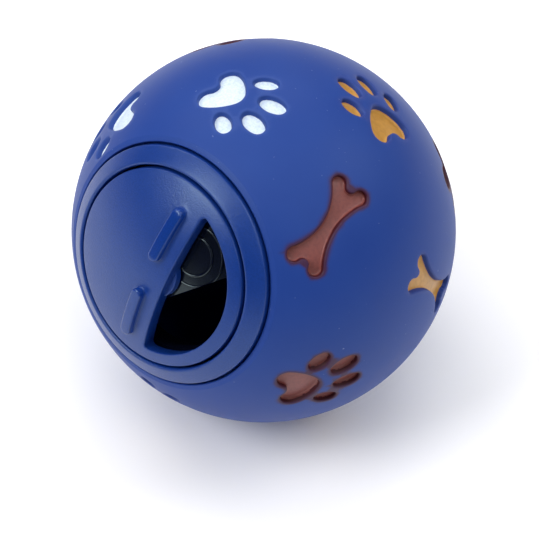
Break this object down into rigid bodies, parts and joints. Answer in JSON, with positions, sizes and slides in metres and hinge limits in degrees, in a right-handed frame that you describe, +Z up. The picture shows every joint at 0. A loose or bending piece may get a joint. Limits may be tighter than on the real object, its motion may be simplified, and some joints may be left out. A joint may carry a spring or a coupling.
{
  "type": "treat dispensing ball",
  "caption": "Hollow vinyl pet ball with recessed painted paws and bones, and a round plastic port whose dial turns to set how wide the half-moon way out for treats is.",
  "frame": {"origin": "centre of the ball, 37.5 mm above the surface that it rests on", "axes": "+Z up as the ball rests; the port's axis lies in the YZ plane, towards -Y and 26 degrees above the horizontal; +X to the right when facing the port"},
  "size_m": [0.075, 0.0755, 0.075],
  "materials": {
    "vinyl": "satin blue vinyl with a soft sheen",
    "hard_plastic": "blue polypropylene with a fine spark-eroded grain",
    "gate_plastic": "dark blue, smooth",
    "dial_plastic": "blue polypropylene with a fine grain, smooth on the grip bars",
    "screw_steel": "zinc-plated",
    "washer_steel": "zinc-plated",
    "white_paint": "white vinyl paint, slightly pearly",
    "brown_paint": "brown vinyl paint, satin",
    "ochre_paint": "ochre vinyl paint, satin"
  },
  "bodies": {
    "ball_body": {"ball": "vinyl", "collar": "hard_plastic", "gate_plate": "gate_plastic", "white_paws": "white_paint", "white_bones": "white_paint", "brown_paws": "brown_paint", "brown_bones": "brown_paint", "ochre_paws": "ochre_paint", "ochre_bones": "ochre_paint"},
    "dial_body": {"dial": "dial_plastic", "dial_screw": "screw_steel", "screw_washer": "washer_steel"}
  },
  "joints": [
    {"name": "dial_turn", "type": "hinge", "parent": "ball_body", "child": "dial_body", "pos_m": [0, 0, 0], "axis": [0, -0.8988, 0.4384], "continuous": true}
  ]
}
